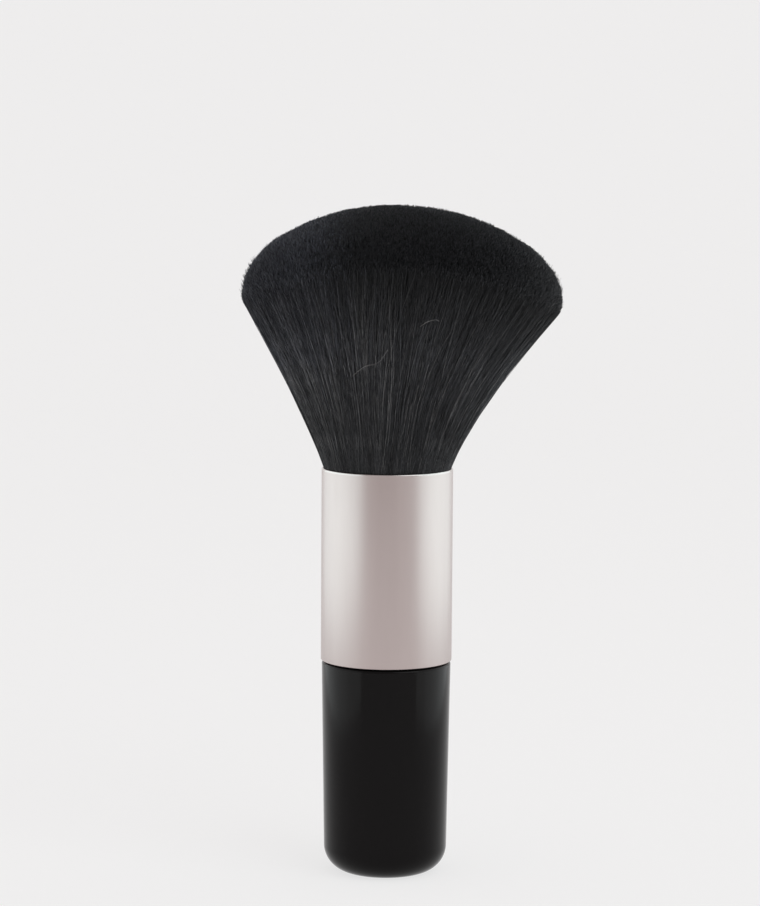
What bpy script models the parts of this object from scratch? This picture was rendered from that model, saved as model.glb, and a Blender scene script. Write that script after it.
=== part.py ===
"""Neck duster brush: flared black bristles, potted in an aluminium ferrule on a hollow moulded handle.

Metres, +Z up. The origin is the centre of the small flat that the handle stands on. Z is the axis.
"""

import math

import bmesh
import bpy
from mathutils import Vector

# Overall sizes
TOTAL_LENGTH = 0.1378
HEAD_HEIGHT = 0.0538  # free bristle above the ferrule's rim, on the axis
FERRULE_LENGTH = 0.040
FERRULE_RADIUS = 0.0135
FIT_GAP = 0.0003  # room for glue between pieces that touch
OUTER_SIDES = 48  # facets round a turned piece that shows
INNER_SIDES = 24  # and round one that is hidden inside
ROUND_STEPS = 6  # straight pieces in a large rounded edge
FINE_STEPS = 3  # and in a small one
SMOOTH_ANGLE = math.radians(35)
MERGE_DISTANCE = 1e-5

RIM_Z = TOTAL_LENGTH - HEAD_HEIGHT
SHOULDER_Z = RIM_Z - FERRULE_LENGTH  # where the ferrule meets the handle

# Ferrule, a drawn tube with a rolled rim
FERRULE_WALL = 0.0006
FERRULE_BORE = FERRULE_RADIUS - FERRULE_WALL

# Handle, a moulded cup with a tenon that the ferrule is pushed over
HANDLE_TOP_RADIUS = 0.0133
HANDLE_END_RADIUS = 0.0127  # just above the rounded end
HANDLE_END_ROUND = 0.0055
HANDLE_EDGE_ROUND = 0.0006
HANDLE_FLOOR = 0.0026
TENON_LENGTH = 0.020
TENON_WALL = 0.0022
TENON_LEAD_IN = 0.0008
GRIP_RING_RADIUS = FERRULE_BORE - FIT_GAP
GRIP_RING_HEIGHT = 0.0018
GRIP_RING_DEPTH = 0.0005
GRIP_RING_COUNT = 3
CAVITY_END_RADIUS = 0.0100
CAVITY_ROUND = 0.0015

# Weight in the end of the handle, which keeps the brush upright
WEIGHT_RADIUS = CAVITY_END_RADIUS - FIT_GAP
WEIGHT_LENGTH = 0.012
WEIGHT_CHAMFER = 0.0016

# Resin under the roots
RESIN_DEPTH = 0.0032
RESIN_MENISCUS = 0.0008  # how far its underside is drawn up in the middle
RESIN_LAND = 0.0025  # flat ring round the hollow

# Bristle bundle: a packed root inside the ferrule, and strands that flare to a trimmed crown
STRAND_RINGS = 10  # rings of strands in the root; ring k has 6 k strands
RING_TWIST = math.radians(2.5)  # each ring is turned by this from the one inside it
ROOT_RADIUS = 0.0122
ROOT_SET_BACK = 0.0008  # the packed root ends this far below the rim
ROOT_TOP_Z = RIM_Z - ROOT_SET_BACK
ROOT_BOTTOM_Z = SHOULDER_Z + TENON_LENGTH + RESIN_DEPTH + 2 * FIT_GAP
CROWN_RADIUS = 0.0348  # how far the outermost tips would stand from the crown's centre, left square
CROWN_LEAN = 0.0030  # the crown's centre lies this far to +X of the axis
CROWN_TILT = 0.0015  # fall of the crown towards +X, at its edge
CROWN_DROP = 0.0111  # fall from the centre to the edge, by the square of the share
CROWN_ROLL = 0.0049  # and by its fourth power
SHOULDER_SHARE = 0.76  # strands from beyond this share of the root are trimmed to a rounded shoulder
SHOULDER_CUT = 0.09  # share of its length that the outermost strand loses there
BEND_SPREAD = 1.58  # the bend point stands this many root radii from the axis
BEND_HEIGHT = 0.41  # and at this share of the strand's height
STRAND_LEVELS = (0.28, 0.62, 1.0)  # shares of a strand where it bends
STRAND_FILL = 0.86  # strand's size in its place among the others, at the root
STRAND_SWELL = 1.7  # how many times thicker it is at its tip

# Thread tied round the packed root
BINDING_TURNS = 3
BINDING_THREAD = 0.0009
BINDING_DEPTH = 0.0090  # from the top of the packed root to the middle of the binding
BINDING_MIDDLE_Z = ROOT_TOP_Z - BINDING_DEPTH
THREAD_ARC = 80  # degrees of each turn that show above and below its middle
GROOVE_DEPTH = 0.0008
GROOVE_HEIGHT = BINDING_TURNS * BINDING_THREAD + 2 * FIT_GAP

# Tapered plug pressed into the middle of the roots, which makes the bundle flare
PLUG_BASE_RADIUS = 0.0045
PLUG_TIP_RADIUS = 0.0012
PLUG_LENGTH = 0.0100
PLUG_COLLAR = 0.0010  # straight part at its base


def clear_scene():
    for old in list(bpy.data.objects):
        bpy.data.objects.remove(old)


def finish_of(name, colour, roughness, metallic=0.0):
    """A plain material of one colour."""
    material = bpy.data.materials.new(name)
    material.use_nodes = True
    shader = material.node_tree.nodes["Principled BSDF"]
    shader.inputs["Base Color"].default_value = (*colour, 1.0)
    shader.inputs["Roughness"].default_value = roughness
    shader.inputs["Metallic"].default_value = metallic
    return material


def add_object(name, mesh, material):
    piece = bpy.data.objects.new(name, mesh)
    mesh.materials.append(material)
    bpy.context.scene.collection.objects.link(piece)
    return piece


def arc(centre_r, centre_z, radius, start_deg, end_deg, steps=ROUND_STEPS):
    """Points of a circular arc in the (radius, height) plane, both ends included."""
    points = []
    for i in range(steps + 1):
        angle = math.radians(start_deg + (end_deg - start_deg) * i / steps)
        points.append((centre_r + radius * math.cos(angle), centre_z + radius * math.sin(angle)))
    return points


def turned(name, profile, material, sides, ring=False):
    """A solid turned about Z. The profile's (radius, height) points run down its outer side.

    A ring's profile is a closed outline; any other profile begins and ends on the axis.
    """
    mesh = bpy.data.meshes.new(name)
    count = len(profile)
    edges = [(i, i + 1) for i in range(count - 1)]
    if ring:
        edges.append((count - 1, 0))
    mesh.from_pydata([(r, 0.0, z) for r, z in profile], edges, [])
    piece = add_object(name, mesh, material)
    turn = piece.modifiers.new("turn", "SCREW")
    turn.axis = "Z"
    turn.angle = 2 * math.pi
    turn.steps = sides
    turn.render_steps = sides
    turn.use_merge_vertices = True
    turn.merge_threshold = MERGE_DISTANCE
    turn.use_smooth_shade = True
    return piece


def make_ferrule(material):
    """Drawn aluminium tube: straight wall, rolled rim at the top, square cut at the bottom."""
    half_wall = FERRULE_WALL / 2
    rim = arc(FERRULE_BORE + half_wall, RIM_Z - half_wall, half_wall, 180, 0)
    bottom_z = SHOULDER_Z + FIT_GAP
    foot = [(FERRULE_RADIUS, bottom_z), (FERRULE_BORE, bottom_z)]
    return turned("ferrule", rim + foot, material, OUTER_SIDES, ring=True)


def grip_rings():
    """Outline of the tenon's grip rings, from the highest down, sloped to let the ferrule slide on."""
    points = []
    pitch = (TENON_LENGTH - TENON_LEAD_IN) / GRIP_RING_COUNT
    for i in range(GRIP_RING_COUNT):
        top = SHOULDER_Z + TENON_LENGTH - TENON_LEAD_IN - i * pitch
        points.append((GRIP_RING_RADIUS - GRIP_RING_DEPTH, top))
        points.append((GRIP_RING_RADIUS, top - GRIP_RING_HEIGHT))
        points.append((GRIP_RING_RADIUS, top - 2 * GRIP_RING_HEIGHT))
        points.append((GRIP_RING_RADIUS - GRIP_RING_DEPTH, top - 2 * GRIP_RING_HEIGHT - FIT_GAP))
    return points


def make_handle(material):
    """Moulded handle: a cup open at the tenon, with a rounded end that has a small flat to stand on."""
    tenon_top = SHOULDER_Z + TENON_LENGTH
    tenon_radius = GRIP_RING_RADIUS - GRIP_RING_DEPTH
    mouth_radius = tenon_radius - TENON_WALL
    cavity = [(0.0, HANDLE_FLOOR)]
    floor_r = CAVITY_END_RADIUS - CAVITY_ROUND
    cavity += arc(floor_r, HANDLE_FLOOR + CAVITY_ROUND, CAVITY_ROUND, -90, 0, FINE_STEPS)
    mouth = [(mouth_radius, tenon_top), (tenon_radius - TENON_LEAD_IN / 2, tenon_top)]
    shoulder = [(tenon_radius, SHOULDER_Z)]
    edge_r = HANDLE_TOP_RADIUS - HANDLE_EDGE_ROUND
    shoulder += arc(edge_r, SHOULDER_Z - HANDLE_EDGE_ROUND, HANDLE_EDGE_ROUND, 90, 0, FINE_STEPS)
    end_r = HANDLE_END_RADIUS - HANDLE_END_ROUND
    end = arc(end_r, HANDLE_END_ROUND, HANDLE_END_ROUND, 0, -90)
    profile = cavity + mouth + grip_rings() + shoulder + end + [(0.0, 0.0)]
    return turned("handle_shell", profile, material, OUTER_SIDES)


def make_handle_weight(material):
    """Steel slug glued to the floor of the handle's cavity."""
    bottom = HANDLE_FLOOR + FIT_GAP
    top = bottom + WEIGHT_LENGTH
    inner = WEIGHT_RADIUS - WEIGHT_CHAMFER
    profile = [(0.0, top), (inner, top), (WEIGHT_RADIUS, top - WEIGHT_CHAMFER)]
    profile += [(WEIGHT_RADIUS, bottom + WEIGHT_CHAMFER), (inner, bottom), (0.0, bottom)]
    return turned("handle_weight", profile, material, INNER_SIDES)


def make_root_resin(material):
    """Cast disc of cured resin that bonds the roots to the ferrule, with a hollow meniscus underneath."""
    radius = FERRULE_BORE - FIT_GAP
    bottom = SHOULDER_Z + TENON_LENGTH + FIT_GAP
    top = bottom + RESIN_DEPTH
    profile = [(0.0, top), (radius, top), (radius, bottom), (radius - RESIN_LAND, bottom)]
    profile += [(0.0, bottom + RESIN_MENISCUS)]
    return turned("root_resin", profile, material, INNER_SIDES)


def make_spreader_plug(material):
    """Blunt cone that sits in the middle of the roots, base down."""
    bottom = ROOT_BOTTOM_Z
    top = bottom + PLUG_LENGTH
    profile = [(0.0, top), (PLUG_TIP_RADIUS, top), (PLUG_BASE_RADIUS, bottom + PLUG_COLLAR)]
    profile += [(PLUG_BASE_RADIUS, bottom), (0.0, bottom)]
    return turned("spreader_plug", profile, material, INNER_SIDES)


def make_root_binding(material):
    """Band of tightly wound thread in the groove round the packed root."""
    inner = ROOT_RADIUS - GROOVE_DEPTH + FIT_GAP
    half = BINDING_TURNS * BINDING_THREAD / 2
    thread = BINDING_THREAD / 2
    profile = [(inner, BINDING_MIDDLE_Z - half), (inner, BINDING_MIDDLE_Z + half)]
    for i in range(BINDING_TURNS):
        middle = BINDING_MIDDLE_Z + half - thread - i * BINDING_THREAD
        profile += arc(inner + thread / 2, middle, thread, THREAD_ARC, -THREAD_ARC, FINE_STEPS)
    return turned("root_binding", profile, material, INNER_SIDES, ring=True)


def crown_point(share, angle):
    """Where a strand from this share of the root's radius ends on the trimmed crown."""
    side = share * math.cos(angle)
    fall = CROWN_TILT * side + CROWN_DROP * share**2 + CROWN_ROLL * share**4
    x = CROWN_LEAN + CROWN_RADIUS * side
    return Vector((x, CROWN_RADIUS * share * math.sin(angle), RIM_Z + HEAD_HEIGHT - fall))


def strand_point(root, t):
    """Point at share t of the strand that grows from this root: a quadratic curve that leaves upright."""
    tip = crown_point(root.xy.length / ROOT_RADIUS, math.atan2(root.y, root.x))
    bend_z = root.z + BEND_HEIGHT * (tip.z - root.z)
    bend = Vector((root.x * BEND_SPREAD, root.y * BEND_SPREAD, bend_z))
    return root * (1 - t) ** 2 + bend * (2 * t * (1 - t)) + tip * t**2


def trimmed_end(root):
    """Share of its length that the strand from this root keeps when the shoulder is rounded."""
    share = root.xy.length / ROOT_RADIUS
    past = max(0.0, (share - SHOULDER_SHARE) / (1 - SHOULDER_SHARE))
    return 1 - SHOULDER_CUT * (1 - math.sqrt(1 - past**2))


def root_lattice(mesh, number):
    """Triangulated disc of rings of 6 k points. Returns the triangles that become strands, numbered."""
    rings = [[mesh.verts.new((0.0, 0.0, ROOT_TOP_Z))]]
    for k in range(1, STRAND_RINGS + 1):
        radius = ROOT_RADIUS * k / STRAND_RINGS
        ring = []
        for i in range(6 * k):
            angle = 2 * math.pi * i / (6 * k) + k * RING_TWIST
            ring.append(mesh.verts.new((radius * math.cos(angle), radius * math.sin(angle), ROOT_TOP_Z)))
        rings.append(ring)
    strands = []
    for k in range(1, STRAND_RINGS + 1):
        outer, inner = rings[k], rings[k - 1]
        for i in range(6 * k):
            sector, step = divmod(i, k)
            apex = inner[(sector * (k - 1) + step) % len(inner)]
            strand = mesh.faces.new((outer[i], outer[(i + 1) % len(outer)], apex))
            strand[number] = len(strands)
            strands.append(strand)
            if step < k - 1:
                following = inner[(sector * (k - 1) + step + 1) % len(inner)]
                mesh.faces.new((apex, outer[(i + 1) % len(outer)], following))
    return strands


def grow_strands(mesh, strands, number):
    """Draws each triangle up along its own curve, to the crown."""
    triangles = []
    for face in strands:
        middle = face.calc_center_median()
        triangles.append((middle, [v.co - middle for v in face.verts]))
    faces = strands
    for t in STRAND_LEVELS:
        size = STRAND_FILL * (1 + (STRAND_SWELL - 1) * t)
        faces = bmesh.ops.extrude_discrete_faces(mesh, faces=faces)["faces"]
        for face in faces:
            middle, corners = triangles[face[number]]
            place = strand_point(middle, t * trimmed_end(middle))
            for vertex, corner in zip(face.verts, corners):
                vertex.co = place + corner * size


def close_root(mesh):
    """Carries the disc's edge down and under: the packed root, the thread's groove and the plug's seat."""
    groove = ROOT_RADIUS - GROOVE_DEPTH
    groove_top = BINDING_MIDDLE_Z + GROOVE_HEIGHT / 2
    groove_bottom = BINDING_MIDDLE_Z - GROOVE_HEIGHT / 2
    seat_z = ROOT_BOTTOM_Z + PLUG_LENGTH + FIT_GAP
    profile = [(ROOT_RADIUS, groove_top), (groove, groove_top), (groove, groove_bottom)]
    profile += [(ROOT_RADIUS, groove_bottom), (ROOT_RADIUS, ROOT_BOTTOM_Z)]
    profile += [(PLUG_BASE_RADIUS + FIT_GAP, ROOT_BOTTOM_Z)]
    profile += [(PLUG_BASE_RADIUS + FIT_GAP, ROOT_BOTTOM_Z + PLUG_COLLAR + FIT_GAP)]
    profile += [(PLUG_TIP_RADIUS + FIT_GAP, seat_z)]
    edges = [e for e in mesh.edges if e.is_boundary]
    for radius, z in profile:
        grown = bmesh.ops.extrude_edge_only(mesh, edges=edges)["geom"]
        edges = [e for e in grown if isinstance(e, bmesh.types.BMEdge) and e.is_boundary]
        for vertex in {v for e in edges for v in e.verts}:
            outward = vertex.co.xy.normalized() * radius
            vertex.co = (outward.x, outward.y, z)
    bmesh.ops.holes_fill(mesh, edges=edges, sides=0)


def make_bristle_bundle(material):
    """All the bristles with their packed root, as one body."""
    mesh = bmesh.new()
    number = mesh.faces.layers.int.new("strand")
    strands = root_lattice(mesh, number)
    close_root(mesh)
    grow_strands(mesh, strands, number)
    bmesh.ops.recalc_face_normals(mesh, faces=mesh.faces)
    data = bpy.data.meshes.new("bristle_bundle")
    mesh.to_mesh(data)
    mesh.free()
    data.shade_smooth()
    data.set_sharp_from_angle(angle=SMOOTH_ANGLE)
    return add_object("bristle_bundle", data, material)


def main():
    clear_scene()
    make_bristle_bundle(finish_of("bristle_black", (0.016, 0.016, 0.018), 0.5))
    make_ferrule(finish_of("champagne_aluminium", (0.62, 0.56, 0.54), 0.3, metallic=1.0))
    make_handle(finish_of("handle_black", (0.010, 0.010, 0.011), 0.22))
    make_handle_weight(finish_of("weight_steel", (0.45, 0.45, 0.46), 0.4, metallic=1.0))
    make_root_resin(finish_of("resin_amber", (0.36, 0.22, 0.08), 0.2))
    make_spreader_plug(finish_of("plug_wood", (0.55, 0.38, 0.22), 0.6))
    make_root_binding(finish_of("binding_thread", (0.70, 0.66, 0.58), 0.8))


main()
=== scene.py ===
"""Looks of the neck duster brush: soft black hair in a satin champagne ferrule on a glossy black handle."""

import math

import bpy
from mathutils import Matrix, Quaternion, Vector


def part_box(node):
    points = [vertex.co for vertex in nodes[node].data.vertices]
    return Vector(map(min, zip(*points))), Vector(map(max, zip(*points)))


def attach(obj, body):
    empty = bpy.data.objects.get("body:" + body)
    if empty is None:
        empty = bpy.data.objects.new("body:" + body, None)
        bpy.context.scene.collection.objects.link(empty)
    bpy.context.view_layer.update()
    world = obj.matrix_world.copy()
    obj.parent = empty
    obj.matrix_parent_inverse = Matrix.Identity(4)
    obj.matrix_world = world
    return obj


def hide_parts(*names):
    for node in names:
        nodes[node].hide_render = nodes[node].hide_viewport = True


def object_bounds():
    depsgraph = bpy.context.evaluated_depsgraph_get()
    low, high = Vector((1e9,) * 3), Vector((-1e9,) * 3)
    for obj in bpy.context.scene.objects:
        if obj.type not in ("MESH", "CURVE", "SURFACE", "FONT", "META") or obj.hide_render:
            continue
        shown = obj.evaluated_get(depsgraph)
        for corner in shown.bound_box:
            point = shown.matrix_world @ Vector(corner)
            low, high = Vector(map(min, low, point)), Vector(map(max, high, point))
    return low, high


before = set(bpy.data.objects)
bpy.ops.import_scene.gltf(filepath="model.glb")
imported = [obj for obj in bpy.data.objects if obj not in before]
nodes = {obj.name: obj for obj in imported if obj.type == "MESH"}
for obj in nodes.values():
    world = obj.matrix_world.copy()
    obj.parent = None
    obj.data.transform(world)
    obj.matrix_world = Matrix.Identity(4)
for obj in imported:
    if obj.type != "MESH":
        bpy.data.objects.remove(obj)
cad_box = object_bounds()

# The hair is soft black synthetic fibre, gathered in a packed root and spread to a domed crown, which is cut
# lower at its sides than at its front and back. Every hair leaves the root upright, bends outwards and ends
# at the cut. Hairs from the edge of the root are cut shorter, which rounds the crown's shoulder.
RIM_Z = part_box("ferrule")[1].z
ROOT_RADIUS = 0.0128
ROOT_SET_BACK = 0.0006
ROOT_Z = RIM_Z - ROOT_SET_BACK
CROWN_SWAY = 0.0003
CROWN_Z = cad_box[1].z - CROWN_SWAY
CROWN_RADIUS = 0.0355
CROWN_LEAN = 0.0032
CROWN_TILT = 0.0012
CROWN_DROP = 0.0126
CROWN_ROLL = 0.0036
CROWN_FRONT_DROP = 0.0095
BEND_SPREAD = 1.434
BEND_HEIGHT = 0.404
SHOULDER_SHARE = 0.72
SHOULDER_CUT = 0.06
SHOULDER_SIDE_CUT = 0.06
HAIR_SIDES = 3
TRIM_POWER = 3.0
TAPER_POWER = 3.0
STRAY_OUT_SHARE = 0.05
LEAST_SHARE = 0.001
SEED_STEP = 100.0
NOISE_MIDDLE = (0.5, 0.5, 0.5)
NOISE_GAIN = 2.0
LOCK_SCALE = 26.0
LOCK_SHADE = 0.7
SHADE_LEAST = -0.30
SHADE_MOST = 0.58
SHADE_LIMIT = 0.96
SHADE_COLUMNS = 64
PAINTED_SHADE_BANKS = 2
PAINTED_LIGHT_FROM = 0.28
PAINTED_LIGHT_BY = 0.58
HAIR_MAP = "OFBake"
MAP_LENGTH = 0.95
MAP_MARGIN = 0.2
NODE_SPACING = 220.0

HAIR_SIZES = {
    "Strands": ("NodeSocketInt", 6200),
    "Inner Share": ("NodeSocketFloat", 0.86),
    "Outer Share": ("NodeSocketFloat", 1.0),
    "Start": ("NodeSocketFloat", 0.0),
    "Points": ("NodeSocketInt", 6),
    "Thickness": ("NodeSocketFloat", 0.00009),
    "Taper": ("NodeSocketFloat", 0.3),
    "Trim Scatter": ("NodeSocketFloat", 0.010),
    "Lock Size": ("NodeSocketFloat", 0.006),
    "Lock Sway": ("NodeSocketFloat", 0.0005),
    "Wisp Size": ("NodeSocketFloat", 0.0009),
    "Wisp Sway": ("NodeSocketFloat", 0.0002),
    "Stray": ("NodeSocketFloat", 0.0065),
    "Bow": ("NodeSocketFloat", 0.0034),
    "Lift": ("NodeSocketFloat", 0.0),
    # The side lift is painted side light: lighter hairs at -X, darker hairs at +X
    "Side Lift": ("NodeSocketFloat", 0.24),
    "Seed": ("NodeSocketInt", 1),
    "Hair": ("NodeSocketMaterial", None),
}


def add_node(tree, kind, inputs=None, **settings):
    """Adds a node, sets its options, and joins or sets its inputs, each given by name or number."""
    made = tree.nodes.new(kind)
    made.location = (NODE_SPACING * len(tree.nodes), 0.0)
    for option, value in settings.items():
        setattr(made, option, value)
    for key, value in (inputs or {}).items():
        if isinstance(value, bpy.types.NodeSocket):
            tree.links.new(value, made.inputs[key])
        else:
            made.inputs[key].default_value = value
    return made


class Field:
    """A number in a node tree that can be added, multiplied and so on, each step being a Math node."""

    def __init__(self, tree, socket):
        self.tree = tree
        self.socket = socket

    def step(self, operation, *others):
        """What a Math node makes of this number and others."""
        inputs = {0: self.socket}
        for place, other in enumerate(others, 1):
            inputs[place] = other.socket if isinstance(other, Field) else other
        made = add_node(self.tree, "ShaderNodeMath", inputs, operation=operation)
        return Field(self.tree, made.outputs[0])

    def __add__(self, other):
        return self.step("ADD", other)

    def __sub__(self, other):
        return self.step("SUBTRACT", other)

    def __mul__(self, other):
        return self.step("MULTIPLY", other)

    def __truediv__(self, other):
        return self.step("DIVIDE", other)

    def __pow__(self, other):
        return self.step("POWER", other)

    def rest(self):
        """One less this number."""
        return self * -1.0 + 1.0


def hair_tree():
    """Geometry Nodes: scatters roots, grows a curve from each to the crown, and gives it flat sides."""
    tree = bpy.data.node_groups.new("hair", "GeometryNodeTree")
    tree.interface.new_socket("Geometry", in_out="OUTPUT", socket_type="NodeSocketGeometry")
    for name, (kind, value) in HAIR_SIZES.items():
        socket = tree.interface.new_socket(name, in_out="INPUT", socket_type=kind)
        if value is not None:
            socket.default_value = value
    given = add_node(tree, "NodeGroupInput").outputs

    def field(socket):
        return Field(tree, socket)

    def vector(x, y, z):
        return add_node(tree, "ShaderNodeCombineXYZ", {0: x.socket, 1: y.socket, 2: z.socket}).outputs[0]

    def chance(number, low=0.0, high=1.0):
        """A random number for each hair. Each use has a number of its own, so that no two agree."""
        seed = field(given["Seed"]) * SEED_STEP + float(number)
        made = add_node(tree, "FunctionNodeRandomValue", {2: low, 3: high, 8: seed.socket})
        return field(made.outputs[1])

    def sway(where, size, amount):
        """A push that changes smoothly from place to place, so that neighbouring hairs lie together."""
        scale = field(size).step("POWER", -1.0)
        noise = add_node(tree, "ShaderNodeTexNoise", {"Vector": where, "Scale": scale.socket, "Detail": 1.0})
        centred = add_node(
            tree, "ShaderNodeVectorMath", {0: noise.outputs["Color"], 1: NOISE_MIDDLE}, operation="SUBTRACT"
        )
        pushed = {0: centred.outputs[0], "Scale": (amount * NOISE_GAIN).socket}
        return add_node(tree, "ShaderNodeVectorMath", pushed, operation="SCALE").outputs[0]

    def plus(*vectors):
        total = vectors[0]
        for vector_socket in vectors[1:]:
            total = add_node(tree, "ShaderNodeVectorMath", {0: total, 1: vector_socket}).outputs[0]
        return total

    # Roots, scattered evenly over a ring of the bundle, each with a shade that its neighbours share in part
    points = add_node(tree, "GeometryNodePoints", {"Count": given["Strands"]}).outputs[0]
    inner = field(given["Inner Share"]) ** 2.0
    outer = field(given["Outer Share"]) ** 2.0
    share = (inner + (outer - inner) * chance(1)) ** 0.5
    angle = chance(2, 0.0, 2 * math.pi)
    root_x = share * angle.step("COSINE")
    root_y = share * angle.step("SINE")
    root = vector(root_x, root_y, share)
    lock = field(add_node(tree, "ShaderNodeTexNoise", {"Vector": root, "Scale": LOCK_SCALE}).outputs["Fac"])
    shade = lock * LOCK_SHADE + chance(3, SHADE_LEAST, SHADE_MOST) + field(given["Lift"])
    # The side lift makes hairs at -X lighter and those at +X darker: painted side light
    shade = shade - root_x * field(given["Side Lift"])
    shade = shade.step("MAXIMUM", 0.0).step("MINIMUM", SHADE_LIMIT)
    # Hairs at -X take the second ramp, more of them further out: painted side light on that side of the
    # bundle
    painted_light_side = ((root_x * -1.0 - PAINTED_LIGHT_FROM) / (PAINTED_LIGHT_BY - PAINTED_LIGHT_FROM)).step("GREATER_THAN", chance(8))
    column = (shade * float(SHADE_COLUMNS)).step("FLOOR") + painted_light_side * float(SHADE_COLUMNS)
    kept = add_node(tree, "GeometryNodeCaptureAttribute", {0: points})
    facts = [root_x, root_y, column, chance(4)] + [chance(number, -1.0, 1.0) for number in (5, 6, 7)]
    for number, fact in enumerate(facts):
        kept.capture_items.new("FLOAT", f"fact {number}")
        tree.links.new(fact.socket, kept.inputs[1 + number])
    recalled = [field(kept.outputs[1 + number]) for number in range(len(facts))]
    side, across, column, trim, aside, outward, bowed = recalled

    # One curve for each root
    line = add_node(tree, "GeometryNodeCurvePrimitiveLine").outputs[0]
    line = add_node(tree, "GeometryNodeResampleCurve", {0: line, "Count": given["Points"]}).outputs[0]
    copies = add_node(tree, "GeometryNodeInstanceOnPoints", {0: kept.outputs[0], "Instance": line}).outputs[0]
    curves = add_node(tree, "GeometryNodeRealizeInstances", {0: copies}).outputs[0]

    # The rule that every hair follows, from its root by its bend to its tip on the crown
    along = field(add_node(tree, "GeometryNodeSplineParameter").outputs["Factor"])
    start = field(given["Start"])
    share_squared = side * side + across * across
    share = share_squared**0.5
    past = ((share - SHOULDER_SHARE) / (1.0 - SHOULDER_SHARE)).step("MAXIMUM", 0.0).step("MINIMUM", 1.0)
    rounded = (past * past).rest() ** 0.5
    cut = rounded.rest() * (side * side * SHOULDER_SIDE_CUT + SHOULDER_CUT)
    end = (trim**TRIM_POWER * field(given["Trim Scatter"]) + cut).rest()
    own = start + start.rest() * along
    reach = end * own
    sideways = side * side * (share_squared * CROWN_ROLL + CROWN_DROP)
    fall = side * CROWN_TILT + sideways + across * across * CROWN_FRONT_DROP
    height = fall * -1.0 + (CROWN_Z - ROOT_Z)
    root_part = reach.rest() * reach.rest()
    bend_part = reach * reach.rest() * 2.0
    tip_part = reach * reach
    narrow = (root_part + bend_part * BEND_SPREAD) * ROOT_RADIUS
    x = side * (narrow + tip_part * CROWN_RADIUS) + tip_part * CROWN_LEAN
    y = across * (narrow + tip_part * CROWN_RADIUS)
    z = height * (bend_part * BEND_HEIGHT + tip_part) + ROOT_Z
    ruled = vector(x, y, z)

    # Departures from the rule: whole locks, thin wisps, and each hair's own bow and stray
    locks = sway(ruled, given["Lock Size"], reach * field(given["Lock Sway"]))
    wisps = sway(ruled, given["Wisp Size"], reach * field(given["Wisp Sway"]))
    strayed = tip_part * aside * aside * aside * field(given["Stray"])
    turned_aside = strayed + bend_part * bowed * field(given["Bow"])
    turned_out = tip_part * outward * field(given["Stray"]) * STRAY_OUT_SHARE
    unit_x = side / (share + LEAST_SHARE)
    unit_y = across / (share + LEAST_SHARE)
    strays = vector(
        unit_x * turned_out - unit_y * turned_aside, unit_y * turned_out + unit_x * turned_aside, turned_out
    )
    curves = add_node(
        tree, "GeometryNodeSetPosition", {0: curves, "Position": plus(ruled, locks, wisps, strays)}
    ).outputs[0]

    # Flat sides, thinner towards the tip, with a map of one column for each shade, once for each ramp of
    # painted shade
    circle = add_node(tree, "GeometryNodeCurvePrimitiveCircle", {"Resolution": HAIR_SIDES, "Radius": 0.5})
    around = add_node(tree, "GeometryNodeSplineParameter").outputs["Factor"]
    profile = add_node(tree, "GeometryNodeCaptureAttribute", {0: circle.outputs[0]})
    profile.capture_items.new("FLOAT", "around")
    tree.links.new(around, profile.inputs[1])
    placed = add_node(tree, "GeometryNodeCaptureAttribute", {0: curves})
    for number, fact in enumerate((own, column)):
        placed.capture_items.new("FLOAT", f"place {number}")
        tree.links.new(fact.socket, placed.inputs[1 + number])
    thin = (along**TAPER_POWER * field(given["Taper"])).rest() * field(given["Thickness"])
    sides = add_node(
        tree,
        "GeometryNodeCurveToMesh",
        {0: placed.outputs[0], 1: profile.outputs[0], "Scale": thin.socket, "Fill Caps": True},
    ).outputs[0]
    across_column = field(profile.outputs[1]) * (1.0 - 2 * MAP_MARGIN) + MAP_MARGIN
    map_u = (field(placed.outputs[2]) + across_column) / float(SHADE_COLUMNS * PAINTED_SHADE_BANKS)
    map_v = field(placed.outputs[1]) * MAP_LENGTH
    mapped = add_node(
        tree,
        "GeometryNodeStoreNamedAttribute",
        {0: sides, "Name": HAIR_MAP},
        data_type="FLOAT2",
        domain="CORNER",
    )
    on_map = add_node(tree, "ShaderNodeCombineXYZ", {0: map_u.socket, 1: map_v.socket}).outputs[0]
    tree.links.new(on_map, mapped.inputs["Value"])
    smooth = add_node(tree, "GeometryNodeSetShadeSmooth", {0: mapped.outputs[0]}).outputs[0]
    real = add_node(tree, "GeometryNodeRealizeInstances", {0: smooth}).outputs[0]
    finished = add_node(tree, "GeometryNodeSetMaterial", {0: real, "Material": given["Hair"]}).outputs[0]
    add_node(tree, "NodeGroupOutput", {0: finished})
    return tree


def new_finish(name, **sockets):
    """A material with the given values on its shader's own sockets. Returns it with its tree and shader."""
    material = bpy.data.materials.new(name)
    material.use_nodes = True
    tree = material.node_tree
    shader = tree.nodes["Principled BSDF"]
    for socket, value in sockets.items():
        shader.inputs[socket.replace("_", " ")].default_value = value
    return material, tree, shader


def feed(tree, shader, **sockets):
    """Joins what varies over the surface to the shader's sockets."""
    for socket, value in sockets.items():
        tree.links.new(value, shader.inputs[socket.replace("_", " ")])


def colour_ramp(tree, factor, stops):
    """A ramp through (place, colour) stops."""
    ramp = add_node(tree, "ShaderNodeValToRGB", {"Fac": factor})
    points = ramp.color_ramp.elements
    while len(points) < len(stops):
        points.new(0.5)
    for point, (place, colour) in zip(points, stops):
        point.position = place
        point.color = colour
    return ramp.outputs["Color"]


def blended(tree, factor, first, second, blend_type="MIX"):
    """One colour laid over another by a factor."""
    colours = {0: factor, 6: first, 7: second}
    return add_node(tree, "ShaderNodeMix", colours, data_type="RGBA", blend_type=blend_type).outputs[2]


def ranged(tree, value, start, end, low, high):
    """A value that runs from low to high as another runs from start to end."""
    return add_node(tree, "ShaderNodeMapRange", {0: value, 1: start, 2: end, 3: low, 4: high}).outputs[0]


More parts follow.
